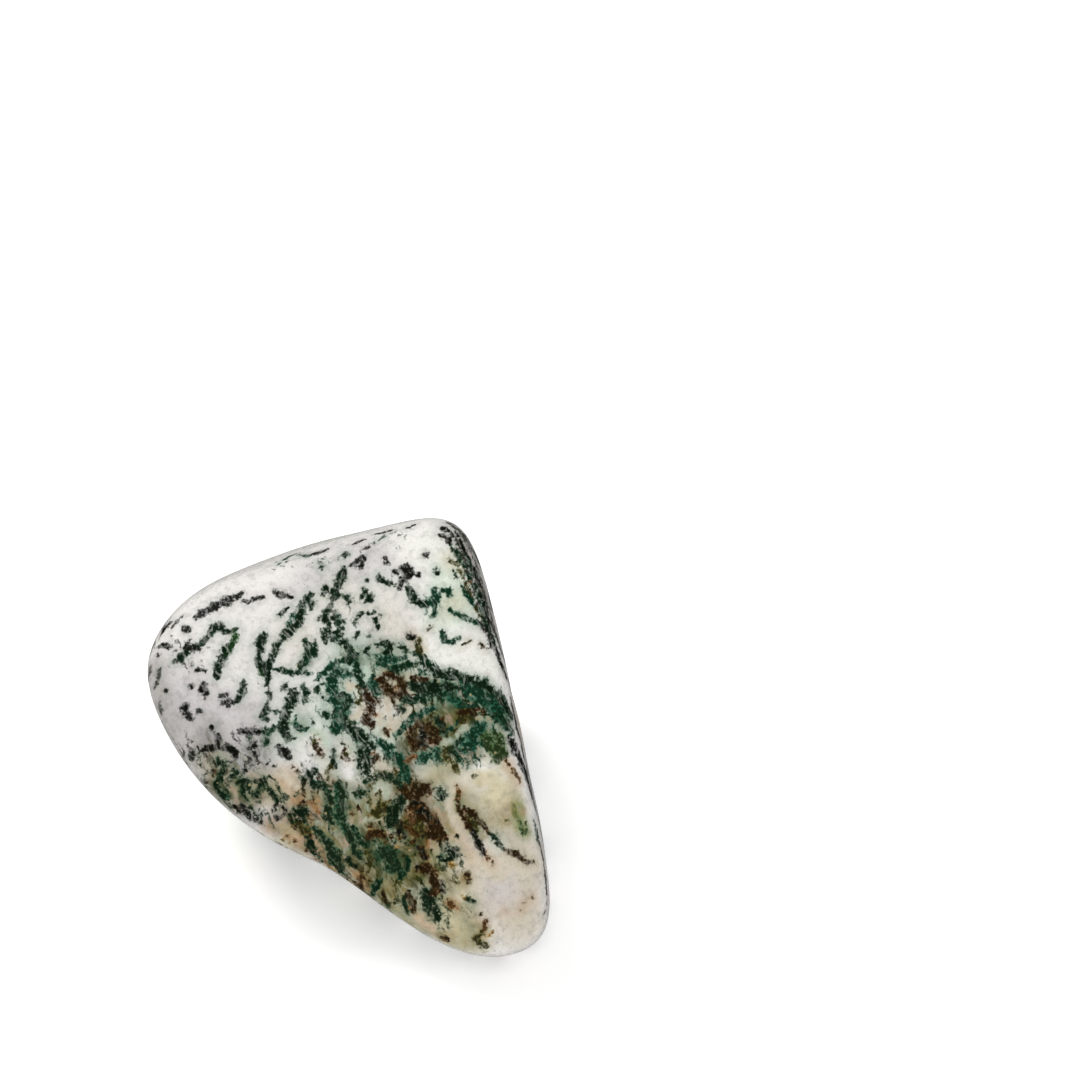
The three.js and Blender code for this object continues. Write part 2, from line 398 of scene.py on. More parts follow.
# Single dots in the photograph: colour, width and then the pixels where one is.
DOTS = [
    ("jet", 7, (184, 628), (187, 630), (158, 655), (191, 686), (185, 706), (199, 711)),
    ("jet", 7, (166, 691), (212, 727), (191, 757), (213, 772), (204, 781)),
    ("jet", 6, (221, 697), (226, 695), (229, 700), (223, 703), (228, 705), (233, 702)),
    ("pine", 6, (311, 608), (313, 603), (266, 706), (265, 712), (267, 719), (262, 716), (269, 709)),
    ("pine", 8, (323, 594), (320, 563), (322, 567), (345, 555), (326, 589)),
    ("jet", 7, (385, 558), (387, 562), (426, 555), (444, 529), (418, 575)),
    ("pine", 7, (436, 569), (437, 573), (367, 581), (347, 598), (349, 602)),
    ("jet", 9, (353, 565), (358, 561), (363, 558), (361, 566)),
    ("pine", 7, (365, 590), (363, 596), (369, 596), (366, 600), (371, 600)),
    ("pine", 6, (325, 620), (327, 629), (335, 612), (334, 618), (336, 624), (344, 622), (340, 628)),
    ("pine", 6, (331, 635), (334, 640), (341, 635), (343, 641), (325, 641), (329, 632), (338, 634)),
    ("pine", 5, (355, 620), (358, 616), (363, 613), (368, 614), (374, 612), (380, 615)),
    ("pine", 5, (375, 620), (378, 627), (376, 624), (354, 624), (356, 637), (369, 636), (359, 633)),
    ("teal", 9, (290, 622), (294, 617), (289, 627)),
    ("leaf", 7, (290, 722), (262, 672), (265, 676)),
    ("deep", 7, (265, 730), (267, 735), (266, 742), (274, 727), (271, 731)),
    ("deep", 6, (275, 712), (250, 738), (301, 727)),
    ("jet", 8, (413, 637), (409, 635)),
    ("umber", 5, (297, 770), (293, 767), (214, 772), (204, 780), (207, 783), (213, 776)),
    ("jet", 4, (267, 764), (274, 766), (270, 761), (246, 770)),
    ("pine", 6, (234, 770), (236, 774), (231, 777), (242, 786)),
    ("pine", 10, (309, 776), (315, 771), (312, 783), (316, 786)),
    ("umber", 8, (319, 751), (316, 746), (322, 755)),
    ("olive", 7, (327, 772), (332, 767), (314, 741), (346, 755)),
    ("pine", 12, (296, 812), (300, 820), (292, 819), (303, 811)),
    ("umber", 8, (296, 826), (303, 830), (311, 836), (302, 803)),
    ("olive", 10, (299, 824), (304, 830), (296, 820)),
    ("rust", 5, (287, 836), (295, 841), (306, 850), (316, 859), (311, 802), (318, 812)),
    ("gold", 4, (283, 840), (289, 843), (333, 829), (389, 821), (398, 846), (371, 829)),
    ("umber", 6, (352, 814), (358, 808), (392, 836), (386, 842), (399, 838), (412, 842), (370, 826)),
    ("jet", 6, (398, 832), (404, 836), (424, 822), (431, 826)),
    ("pine", 9, (362, 766), (367, 771), (363, 773)),
    ("umber", 8, (376, 757), (373, 762)),
    ("umber", 8, (425, 733), (420, 742), (429, 726), (424, 748)),
    ("umber", 8, (414, 748), (434, 731), (442, 719), (443, 728), (437, 740)),
    ("rust", 7, (409, 759), (414, 757), (396, 688), (400, 691), (406, 762)),
    ("rust", 5, (417, 740), (431, 742), (466, 570), (471, 582), (482, 714), (463, 712)),
    ("teal", 12, (428, 755), (435, 753), (422, 758)),
    ("moss", 14, (492, 738), (499, 746), (494, 751), (486, 737)),
    ("moss", 10, (500, 737), (488, 746), (503, 752), (497, 758)),
    ("teal", 10, (480, 729), (474, 737), (471, 748), (484, 724), (476, 742)),
    ("teal", 6, (463, 741), (466, 736), (457, 721), (452, 728), (460, 750)),
    ("umber", 6, (424, 787), (430, 792), (420, 790)),
    ("pine", 5, (442, 791), (443, 799), (439, 796), (446, 795)),
    ("rust", 7, (424, 815), (432, 822), (418, 808)),
    ("olive", 9, (409, 822), (414, 828), (420, 826)),
    ("umber", 7, (417, 836), (414, 832), (439, 838)),
    ("umber", 9, (438, 884), (441, 890), (434, 886), (432, 893)),
    ("gold", 6, (451, 864), (454, 866)),
    ("gold", 4, (462, 896), (465, 898), (488, 936), (492, 932)),
    ("rust", 6, (453, 905), (457, 907), (450, 903)),
    ("olive", 5, (507, 820), (484, 755), (474, 776), (457, 796)),
    ("umber", 4, (481, 914), (361, 880), (367, 895), (349, 878), (336, 868)),
    ("olive", 8, (480, 943), (485, 946), (476, 938), (481, 934)),
    ("rust", 3, (505, 911), (532, 898), (521, 910), (524, 903)),
]

# Soft colour in the chalcedony, and a few washes of painted shade and painted highlight: colour, strength,
# width and then the pixels where it is.
WASHES = [
    ("white", 0.7, 110, (330, 570), (400, 550), (250, 600), (430, 560), (240, 650)),
    # Painted shade: a violet-grey wash that darkens the top, where the lamp above and behind lights it most.
    ("violet", 0.6, 70, (380, 554), (345, 565), (310, 578)),
    # The apex: white chalcedony with a painted highlight on it.
    ("snow", 0.55, 60, (408, 548), (428, 552), (434, 542), (412, 566)),
    ("shell", 0.35, 70, (385, 610), (340, 600), (400, 640), (300, 640)),
    # The left end and lower-left edge: the chalcedony's violet-grey, with painted shade that darkens it
    # towards the edges.
    ("violet", 0.8, 90, (165, 690), (190, 700), (215, 720), (250, 720), (180, 740)),
    ("dusk", 0.7, 50, (155, 670), (170, 730), (185, 760), (160, 700)),
    ("dusk", 0.85, 60, (210, 740), (240, 765), (215, 790), (240, 800), (260, 750)),
    ("dusk", 0.4, 44, (205, 785), (222, 800), (240, 812), (262, 822)),
    ("ice", 0.8, 54, (450, 570), (455, 600), (440, 620), (445, 590), (462, 610)),
    ("mint", 0.35, 60, (300, 720), (330, 720), (285, 740)),
    # Painted light: a snow-white wash that brightens the right of the front slope, which the lamps leave
    # dimmer.
    ("snow", 0.9, 56, (465, 655), (490, 670), (450, 660), (440, 648), (480, 640)),
    ("sage", 0.7, 70, (385, 680), (400, 670), (345, 760)),
    ("mint", 0.7, 70, (350, 665), (340, 700), (380, 740)),
    ("fern", 0.35, 44, (345, 650), (356, 664), (367, 648), (378, 656), (392, 654)),
    ("fern", 0.3, 40, (338, 690), (345, 712), (337, 726), (362, 740)),
    ("fern", 0.4, 26, (309, 656), (303, 668), (300, 728), (305, 720)),
    ("khaki", 0.5, 60, (410, 690), (440, 720), (400, 720)),
    ("fern", 0.8, 60, (440, 695), (480, 700), (455, 710), (420, 745), (450, 745), (480, 735)),
    ("pool", 0.7, 40, (460, 698), (476, 700), (490, 708), (503, 720)),
    ("bog", 0.8, 40, (425, 735), (440, 722), (456, 720), (412, 742), (470, 716)),
    ("peach", 0.8, 44, (285, 780), (296, 790), (275, 795), (310, 800)),
    ("silt", 0.8, 70, (330, 800), (300, 815), (340, 840), (365, 810), (300, 835)),
    ("silt", 0.8, 90, (390, 800), (400, 840), (380, 870), (420, 820), (350, 850), (420, 870)),
    ("bog", 0.65, 56, (405, 800), (415, 830), (395, 850), (330, 830), (375, 850), (400, 770)),
    ("bog", 0.5, 40, (412, 814), (426, 828), (436, 836)),
    ("bog", 0.6, 50, (345, 870), (375, 890), (405, 880), (430, 850), (310, 820)),
    ("khaki", 0.85, 60, (440, 870), (445, 900), (420, 920), (395, 905), (455, 930), (470, 940)),
    ("fern", 0.6, 44, (335, 790), (350, 820), (375, 860), (330, 845)),
    ("apricot", 0.7, 30, (312, 845), (300, 838), (345, 866), (360, 880), (270, 826)),
    ("white", 0.6, 22, (346, 772), (382, 789), (393, 712), (357, 714), (322, 738), (347, 762)),
    ("silt", 0.7, 50, (225, 785), (245, 795), (262, 785), (214, 762)),
    ("silt", 0.4, 40, (440, 900), (455, 880), (430, 930), (470, 920), (452, 935)),
    ("khaki", 0.6, 26, (485, 797), (515, 800), (497, 825), (470, 800), (507, 775)),
    ("khaki", 0.6, 40, (438, 770), (430, 780), (445, 780), (452, 765)),
    ("bog", 0.4, 44, (385, 885), (410, 870), (365, 870), (430, 860), (398, 900)),
    ("cream", 0.7, 60, (490, 775), (500, 790), (475, 790), (510, 810)),
    ("cream", 0.6, 50, (495, 830), (470, 810), (455, 820)),
    ("khaki", 0.7, 40, (455, 800), (446, 815), (470, 826), (484, 846)),
    ("peach", 0.5, 30, (507, 765), (502, 803), (515, 780)),
    ("shell", 0.9, 80, (510, 885), (490, 865), (520, 920), (480, 890), (525, 860)),
    ("peach", 0.3, 40, (505, 911), (528, 900), (470, 930)),
    # Painted shade: grey along the right flank, which is turned away from the light.
    ("dusk", 0.7, 40, (460, 535), (468, 548), (475, 562), (480, 578), (485, 594), (489, 610), (494, 630)),
    ("cream", 0.4, 40, (452, 562), (460, 600), (446, 608)),
    ("shell", 0.8, 44, (458, 842), (466, 856)),
    ("peach", 0.6, 26, (456, 832), (461, 843), (468, 854), (478, 860)),
    # Painted highlight: a soft white sheen on the cream ground.
    ("white", 0.4, 40, (482, 780), (494, 782), (478, 800), (495, 840)),
    ("silt", 0.45, 50, (503, 800), (490, 818), (516, 828), (470, 802)),
    # Painted highlight: short white strokes of sheen on the cream ground.
    ("snow", 0.6, 18, (484, 768), (492, 771), (500, 777), (478, 766)),
    ("ochre", 0.5, 14, (507, 820), (513, 818), (480, 783)),
    ("lime", 0.8, 22, (519, 815), (521, 824), (525, 832), (518, 808)),
    ("apricot", 0.5, 16, (501, 803), (497, 799), (522, 811)),
    ("ochre", 0.35, 20, (411, 635), (416, 642), (421, 650)),
    ("ochre", 0.5, 20, (466, 878), (449, 904), (456, 906), (480, 938), (484, 929), (442, 937)),
    ("khaki", 0.6, 30, (460, 886), (470, 906), (455, 920), (472, 928)),
    ("silt", 0.7, 12, (471, 823), (476, 831), (481, 838)),
    ("violet", 0.4, 50, (494, 881), (508, 888), (500, 898)),
    ("cream", 0.6, 36, (446, 924), (457, 936), (438, 912)),
    ("apricot", 0.45, 28, (306, 812), (314, 823), (299, 800), (323, 847), (295, 824), (352, 874)),
    ("pool", 0.8, 26, (481, 733), (474, 746), (470, 756)),
    ("moss", 0.9, 28, (495, 741), (500, 750), (490, 738)),
]

# Where inclusions make a net: colour, how closed it is, width and then the pixels where it is.
NETS = [
    # The dense middle
    ("deep", 0.52, 70, (345, 665), (355, 700), (345, 720), (380, 665), (395, 680)),
    ("pine", 0.6, 60, (375, 690), (390, 700), (370, 720), (400, 700)),
    ("umber", 0.66, 40, (395, 692), (410, 700), (425, 695), (425, 740), (375, 705)),
    ("teal", 0.85, 44, (430, 680), (450, 680), (470, 688), (488, 696), (500, 712)),
    ("deep", 0.8, 44, (440, 700), (462, 704), (484, 712), (504, 724)),
    ("pine", 0.95, 24, (438, 676), (450, 679), (462, 682), (474, 686), (486, 692), (497, 700), (506, 711)),
    ("olive", 0.9, 46, (425, 715), (445, 725), (465, 722), (450, 745)),
    ("teal", 0.75, 40, (476, 740), (466, 755), (430, 755), (486, 728)),
    ("moss", 1.0, 28, (494, 742), (500, 750)),
    ("pine", 0.5, 56, (330, 735), (365, 740), (390, 745), (350, 725)),
    ("deep", 0.5, 50, (310, 700), (325, 690)),
    # The dark lower middle
    ("olive", 0.8, 70, (400, 800), (420, 820), (385, 790), (430, 840)),
    ("umber", 0.95, 44, (415, 810), (428, 822), (400, 815), (410, 795), (438, 836)),
    ("fir", 0.72, 60, (375, 850), (390, 865), (355, 840), (400, 850)),
    ("fir", 0.55, 44, (345, 800), (345, 830), (330, 840), (370, 855)),
    ("pine", 0.6, 60, (310, 780), (325, 800), (300, 810), (335, 815), (345, 860)),
    ("umber", 0.66, 40, (320, 790), (298, 820), (350, 872), (365, 885)),
    ("olive", 0.7, 60, (420, 870), (405, 890), (440, 880), (430, 900), (385, 890)),
    ("pine", 0.6, 44, (430, 895), (438, 915), (450, 855), (412, 905)),
    ("olive", 0.5, 30, (478, 940), (484, 946), (470, 905)),
    # The left foot
    ("pine", 0.66, 60, (215, 775), (240, 780), (255, 795), (230, 795), (270, 800)),
    ("jet", 0.5, 50, (205, 750), (230, 750), (250, 745), (185, 745)),
    # The left end and the top edge
    ("jet", 0.4, 40, (175, 650), (165, 640), (185, 665), (200, 650)),
    ("jet", 0.45, 30, (160, 720), (155, 690), (172, 745)),
    ("pine", 0.45, 40, (285, 562), (320, 556), (365, 548), (395, 535)),
    ("pine", 0.4, 40, (335, 625), (345, 600), (365, 620), (400, 575)),
    ("teal", 0.45, 40, (430, 605), (410, 655), (395, 660)),
    # The right flank
    ("pine", 0.2, 30, (448, 536), (462, 553), (472, 573), (480, 600)),
    ("pine", 0.3, 26, (488, 608), (494, 630), (501, 650), (508, 670), (514, 695)),
    ("pine", 0.35, 24, (520, 725), (528, 755), (535, 790), (543, 825), (549, 860)),
]

# Light gaps between the inclusions: colour, width and then the pixels that the gap goes through.
GAPS = [
    # The middle
    ("mint", 7, (343, 666), (350, 668)),
    ("shell", 6, (349, 683), (350, 690)),
    ("mint", 6, (366, 668), (367, 676), (369, 684)),
    ("sage", 5, (380, 668), (384, 672)),
    ("shell", 8, (352, 721), (357, 715), (361, 709)),
    ("shell", 8, (386, 701), (388, 711), (391, 722), (393, 730)),
    ("shell", 6, (378, 714), (380, 724)),
    ("sage", 5, (404, 737), (410, 729), (414, 722)),
    ("white", 7, (344, 752), (346, 760), (348, 768), (349, 776)),
    ("shell", 7, (378, 760), (383, 766), (388, 770)),
    ("sage", 6, (374, 790), (380, 785), (387, 789), (386, 797)),
    ("fern", 3, (428, 680), (440, 681), (452, 683), (462, 684)),
    ("sage", 6, (434, 742), (441, 743), (449, 740)),
    ("sage", 6, (456, 737), (462, 730), (471, 726)),
    ("khaki", 5, (478, 720), (486, 718), (492, 720)),
    ("sage", 5, (497, 726), (503, 733), (507, 744)),
    ("mint", 6, (312, 730), (322, 737), (327, 745)),
    ("shell", 6, (397, 724), (403, 717), (409, 711)),
    ("mint", 5, (324, 704), (323, 711)),
    # The lower middle
    ("sage", 4, (364, 822), (371, 819), (379, 818)),
    ("apricot", 8, (292, 802), (304, 804), (318, 808)),
    ("peach", 9, (282, 826), (290, 834), (296, 840)),
    ("apricot", 8, (313, 842), (318, 850), (325, 861), (333, 869)),
    ("apricot", 7, (350, 866), (356, 875), (362, 884), (370, 892)),
    ("silt", 6, (384, 882), (390, 889), (392, 898)),
    ("silt", 6, (409, 872), (407, 884), (402, 897)),
    ("sage", 3, (399, 817), (402, 808), (407, 802)),
    ("silt", 3, (433, 800), (441, 807), (447, 818)),
    ("khaki", 6, (447, 824), (450, 834), (453, 842)),
    ("apricot", 4, (429, 840), (427, 848), (425, 860)),
    ("khaki", 5, (434, 842), (436, 850), (434, 860)),
    ("khaki", 6, (446, 874), (447, 884), (444, 896)),
    ("silt", 5, (416, 858), (412, 866)),
    ("silt", 4, (334, 790), (335, 804), (336, 816), (341, 828)),
    ("silt", 5, (350, 800), (352, 812), (357, 822)),
    ("apricot", 4, (318, 796), (320, 808)),
    ("silt", 5, (318, 822), (326, 832), (336, 842), (346, 852)),
    ("silt", 4, (362, 800), (366, 810), (370, 818)),
    ("peach", 7, (417, 917), (424, 924), (434, 932)),
    ("khaki", 5, (395, 905), (404, 918), (412, 924)),
    ("shell", 5, (279, 770), (287, 778), (298, 786)),
    # The clear ground beside the forked vein
    ("shell", 16, (480, 862), (500, 876), (492, 868)),
    ("cream", 18, (480, 776), (494, 780), (500, 792), (492, 800)),
    ("shell", 8, (452, 790), (449, 804), (455, 818), (462, 832)),
]

# In the values below, a pair of numbers is a range that each mark draws its own value from.

# The hidden sides: how many washes, nets and trees are there, their colours and their sizes in millimetres.
HIDDEN_WASHES = 70
WASH_COLOURS = ("white", "violet", "mint", "shell", "cream", "sage", "peach", "khaki")
WASH_RADII = (3, 8)
WASH_STRENGTHS = (0.2, 0.6)
HIDDEN_NETS = 60
NET_COLOURS = ("pine", "deep", "teal", "olive", "umber", "pine")
NET_RADII = (1.5, 5)
NET_CLOSEDNESS = (0.5, 0.95)
TREES = 150
TREE_COLOURS = ("pine", "pine", "jet", "deep", "teal", "umber")
TRUNK_LENGTHS = (3, 11)
TRUNK_WIDTHS = (0.35, 0.7)

# A tree bends slowly, and forks where it is thick enough. A branch is turned aside, shorter and thinner.
BEND_MEMORY = 0.7
BEND_SPREAD = 0.12
FORK_CHANCE = 0.13
FORK_LEAST_WIDTH = 0.3
FORK_TURNS = (0.5, 1.6)
FORK_LENGTHS = (0.3, 0.8)
FORK_THINNING = 0.75

# The photograph shows a place when its ray to there meets the skin this near to it, in millimetres.
SHOWN_WITHIN = 0.5

# A line is drawn as grains, a step in millimetres apart. A grain's radius is a share of the line's width.
STEP = 0.3
STROKE = 1.05
GRAIN_SIZES = (0.75, 1.2)
GRAIN_STRENGTHS = (0.85, 1.1)

# The size of a line's last grain, and how much larger each grain before it is, up to 1.
END_SIZE = 0.65
END_GROWTH = 0.15

# How far a line through pixels wanders from them at each step, and how much of that it keeps.
WANDER = 0.8
WANDER_MEMORY = 0.6

# Buds at a line's sides: how often, how far out in line widths, their radius as a share of the grain's, and
# how strong they are.
BUD_CHANCE = 0.45
BUD_DISTANCES = (0.45, 0.9)
BUD_SIZES = (0.45, 0.75)
BUD_STRENGTHS = (0.7, 1)

# Light gaps: their radius as a share of their width, how many steps a width has, and their wander in pixels.
GAP_RADII = (0.4, 0.9)
GAP_STEPS = 3
GAP_WANDER = 1

# How much of the net and of the ground's own colour a light gap takes away in its middle.
GAP_OPENING = 0.9
GAP_TINTING = 0.8

# How fast a wash and a patch of the net fade towards their rims. A higher number is a softer rim.
WASH_FADING = 1.5
NET_FADING = 0.8

# How far a mark's tint reaches into the chalcedony, as a share of its radius and then in millimetres more,
# and how strong it is there.
HALO_REACH = 1.2
HALO_MARGIN = 0.5
HALO_STRENGTH = 0.28

# The net reaches this far to the sides of the noise's winding lines, where it is open and closed. A contrast
# above 1 keeps half-closed places more open.
OPEN_NET = -0.09
CLOSED_NET = 0.15
NET_CONTRAST = 1.2

# The seed of the random draws.
SEED = 12

# The way that the inclusions run, down the front slope, and how much longer they are that way.
FLOW = (0.42, -0.76, -0.50)
FLOW_STRETCH = 2.4
FIBRE_STRETCH = 5

# How far the inclusions swirl, and how large the swirls are, in millimetres.
SWIRL_REACH = 1.6
SWIRL_SIZE = 2.4

# Colours that the material mixes in, in linear light.
SHADOW = (0.30, 0.31, 0.30, 1)
OCHRE_STAIN = (0.62, 0.50, 0.26, 1)
GREEN_STAIN = (0.52, 0.66, 0.50, 1)
DARK_STREAK = (0.35, 0.36, 0.25, 1)
BROWN_STREAK = (0.48, 0.36, 0.26, 1)
GREEN_STREAK = (0.38, 0.43, 0.32, 1)
DARK_CORE = (0.28, 0.28, 0.20, 1)
GOLD_GLINT = (0.42, 0.33, 0.15, 1)

# The studio, in metres: how far the floor reaches to each side, and where the lamps point.
FLOOR_REACH = 3
LAMP_AIM = (0, 0, 0.01)


def direction(azimuth, elevation):
    """The unit vector at an azimuth from +X towards +Y and an elevation."""
    turn = math.radians(azimuth)
    rise = math.radians(elevation)
    level = math.cos(rise)
    return np.array([level * math.cos(turn), level * math.sin(turn), math.sin(rise)])


def unit(vector):
    return vector / np.linalg.norm(vector, axis=-1, keepdims=True)


def worn_reach(along):
    """How far the blended faces are from the heart, along unit vectors."""
    total = np.zeros(len(along))
    for azimuth, elevation, distance in FACES.values():
        facing = np.maximum(0, along @ direction(azimuth, elevation) / distance)
        total += facing**EDGE_TIGHTNESS
    return total ** (-1 / EDGE_TIGHTNESS)


def hollow_depth(along):
    """How much the hollows take away, along unit vectors."""
    azimuths = np.degrees(np.arctan2(along[:, 1], along[:, 0]))
    elevations = np.degrees(np.arcsin(np.clip(along[:, 2], -1, 1)))
    total = np.zeros(len(along))
    for azimuth, elevation, width, height, depth in HOLLOWS.values():
        turn = (azimuths - azimuth + 180) % 360 - 180
        across = turn * np.cos(np.radians(elevations)) / width
        up = (elevations - elevation) / height
        total += depth * np.exp(-(across**2) - up**2)
    return total


def swell(points):
    """The slow unevenness at points measured from the heart."""
    turns = 2 * math.pi / SWELL_LENGTH
    x, y, z = points.T
    waves = (
        np.sin(turns * (x + 0.4 * y) + 0.7)
        + np.sin(turns * (y - 0.5 * z) + 2.1)
        + np.sin(turns * (0.8 * z + 0.3 * x) + 4.0)
    )
    return SWELL_HEIGHT * waves / 3


def settled(height):
    """Heights near the ground, eased onto it."""
    eased = (height + EASING_HEIGHT) ** 2 / (4 * EASING_HEIGHT)
    return np.where(height < -EASING_HEIGHT, 0, np.where(height < EASING_HEIGHT, eased, height))


def skin(along, heart):
    """The points of the stone's skin that lie from its heart along unit vectors."""
    reach = worn_reach(along) - hollow_depth(along)
    reach += swell(along * reach[:, None]) - INSET
    points = heart + along * reach[:, None]
    points[:, 2] = settled(points[:, 2])
    return points


def get_points(mesh):
    flat = np.empty(len(mesh.vertices) * 3, np.float32)
    mesh.vertices.foreach_get("co", flat)
    return flat.reshape(-1, 3).astype(float)


def set_points(mesh, points):
    mesh.vertices.foreach_set("co", points.astype(np.float32).ravel())
    mesh.update()


def ball_mesh():
    """A ball of even triangles, with a radius of 1."""
    made = bmesh.new()
    bmesh.ops.create_icosphere(made, subdivisions=BALL_SUBDIVISIONS, radius=1)
    mesh = bpy.data.meshes.new("ball")
    made.to_mesh(mesh)
    made.free()
    return mesh


def place_heart(along):
    """The heart's place in the frame: the middle of the outline is where the CAD node's is."""
    heart = np.array([0, 0, HEART_HEIGHT])
    outline = skin(along, heart)
    middle = (outline.min(0) + outline.max(0)) / 2
    low, high = (np.array(corner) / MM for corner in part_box("stone"))
    shift = (low + high) / 2 - middle
    return heart + [shift[0], shift[1], 0]


def even_quads(mesh, width):
    """A new mesh of even quads over the same form."""
    holder = bpy.data.objects.new("rough", mesh)
    bpy.context.scene.collection.objects.link(holder)
    remesh = holder.modifiers.new("quads", "REMESH")
    remesh.mode = "VOXEL"
    remesh.voxel_size = width
    made = bpy.data.meshes.new_from_object(
        holder.evaluated_get(bpy.context.evaluated_depsgraph_get())
    )
    bpy.data.objects.remove(holder)
    return made


def stone_mesh():
    """The stone's fine mesh in millimetres, and its heart."""
    rough = ball_mesh()
    along = unit(get_points(rough))
    heart = place_heart(along)
    set_points(rough, skin(along, heart))
    mesh = even_quads(rough, QUAD)
    set_points(mesh, skin(unit(get_points(mesh) - heart), heart))
    mesh.name = "stone skin"
    return mesh, heart


class View:
    """The photograph's camera, in millimetres."""

    def __init__(self, heart):
        tilt = math.radians(CAMERA_ELEVATION)
        self.right = np.array([1.0, 0, 0])
        self.up = np.array([0, math.sin(tilt), math.cos(tilt)])
        self.back = np.array([0, -math.cos(tilt), math.sin(tilt)])
        across = (HEART_PIXEL[0] - FRAME_PIXELS / 2) * PIXEL
        above = (FRAME_PIXELS / 2 - HEART_PIXEL[1]) * PIXEL
        self.eye = heart - self.right * across - self.up * above + self.back * HEART_DEPTH

    def ray(self, pixel):
        """The way from the eye through a pixel."""
        across = pixel[0] - FRAME_PIXELS / 2
        above = FRAME_PIXELS / 2 - pixel[1]
        return unit(self.right * across + self.up * above - self.back * FOCAL_PIXELS)


class Skin:
    """The fine mesh as something to paint on: where a pixel meets it, and which points are near a place."""

    def __init__(self, mesh, heart, view):
        self.points = get_points(mesh)
        self.heart = heart
        self.view = view
        self.surface = BVHTree.FromPolygons(
            [tuple(p) for p in self.points], [tuple(p.vertices) for p in mesh.polygons]
        )
        self.tree = KDTree(len(self.points))
        for i, point in enumerate(self.points):
            self.tree.insert(point, i)
        self.tree.balance()
        count = len(self.points)
        self.ink = np.zeros(count)
        self.tint = np.tile(linear("pine"), (count, 1))
        self.ground = np.tile(linear("white"), (count, 1))
        self.net = np.zeros(count)
        self.net_tint = np.tile(linear("pine"), (count, 1))
        self.halo = np.zeros(count)
        self.halo_tint = np.tile(linear("mint"), (count, 1))

    def meets(self, way):
        """Where a ray from the eye meets the skin, or None."""
        return self.surface.ray_cast(Vector(self.view.eye), Vector(way))[0]

    def under(self, pixel):
        """The place on the skin that a pixel of the photograph shows, or None."""
        place = self.meets(self.view.ray(pixel))
        return None if place is None else np.array(place)

    def shown(self, place):
        """Whether the photograph shows a place on the skin."""
        first = self.meets(unit(place - self.view.eye))
        return first is not None and (Vector(place) - first).length < SHOWN_WITHIN

    def outward(self, place):
        """The unit vector from the heart to a place."""
        return unit(place - self.heart)

    def onto(self, place):
        """The place on the skin nearest to a place just off it, along the line from the heart."""
        return skin(self.outward(place)[None], self.heart)[0]

    def near(self, place, radius):
        """The points within a radius, and how deep in it they are, from 0 at its rim to 1."""
        found = self.tree.find_range(place, radius)
        which = np.array([f[1] for f in found], int)
        apart = np.array([f[2] for f in found])
        return which, 1 - (apart / radius) ** 2

    def dab(self, place, radius, strength, colour):
        """A grain of inclusion and the tint around it."""
        which, depth = self.near(place, radius)
        ink = strength * depth
        over = ink > self.ink[which]
        self.ink[which[over]] = ink[over]
        self.tint[which[over]] = linear(colour)
        which, depth = self.near(place, radius * HALO_REACH + HALO_MARGIN)
        over = depth > self.halo[which]
        self.halo[which[over]] = depth[over]
        self.halo_tint[which[over]] = linear(HALOS[colour])

    def wash(self, place, radius, strength, colour):
        """A soft patch of colour in the chalcedony, also used for painted shade and painted highlight."""
        which, depth = self.near(place, radius)
        share = (strength * depth**WASH_FADING)[:, None]
        self.ground[which] += (linear(colour) - self.ground[which]) * share

    def knit(self, place, radius, closed, colour):
        """A patch of the net of inclusions, from 0 for none to 1 for a closed mass."""
        which, depth = self.near(place, radius)
        share = depth**NET_FADING
        self.net[which] += (closed - self.net[which]) * share
        self.net_tint[which] += (linear(colour) - self.net_tint[which]) * share[:, None]

    def clear(self, place, radius, colour):
        """A light place without a net."""
        which, depth = self.near(place, radius)
        self.net[which] *= 1 - GAP_OPENING * depth
        self.ground[which] += (linear(colour) - self.ground[which]) * (GAP_TINTING * depth)[:, None]


def linear(colour):
    """A named colour in linear light, by the sRGB standard's own formula."""
    srgb = np.array(COLOURS[colour]) / 255
    return np.where(srgb <= 0.04045, srgb / 12.92, ((srgb + 0.055) / 1.055) ** 2.4)


def through(points, step):
    """A smooth (Catmull-Rom) curve through points, as points about a step apart."""
    ends = [2 * points[0] - points[1], *points, 2 * points[-1] - points[-2]]
    curve = []
    for a, b, c, d in zip(ends, ends[1:], ends[2:], ends[3:]):
        count = max(1, round(np.linalg.norm(c - b) / step))
        for t in np.arange(count) / count:
            bend = (2 * a - 5 * b + 4 * c - d) * t**2 + (3 * b - a - 3 * c + d) * t**3
            curve.append(b + 0.5 * ((c - a) * t + bend))
    return [*curve, points[-1]]


def draw_bud(canvas, rng, place, width, grain_radius, colour):
    """A small grain at the side of a line, of its own or its companion's colour."""
    outward = canvas.outward(place)
    aside = rng.normal(0, 1, 3)
    aside -= outward * aside.dot(outward)
    bud = place + unit(aside) * width * rng.uniform(*BUD_DISTANCES)
    kind = COMPANIONS[colour] if rng.random() < COMPANION_CHANCE else colour
    canvas.dab(bud, grain_radius * rng.uniform(*BUD_SIZES), rng.uniform(*BUD_STRENGTHS), kind)


def draw_path(canvas, rng, path, width, colour):
    """A line of inclusions: grains of changing size along a path, with buds at its sides."""
    for i, place in enumerate(path):
        end = min(i, len(path) - 1 - i)
        taper = min(1, END_SIZE + END_GROWTH * end)
        radius = STROKE * width * taper * rng.uniform(*GRAIN_SIZES)
        canvas.dab(place, radius, rng.uniform(*GRAIN_STRENGTHS), colour)
        if rng.random() < BUD_CHANCE:
            draw_bud(canvas, rng, place, width, radius, colour)


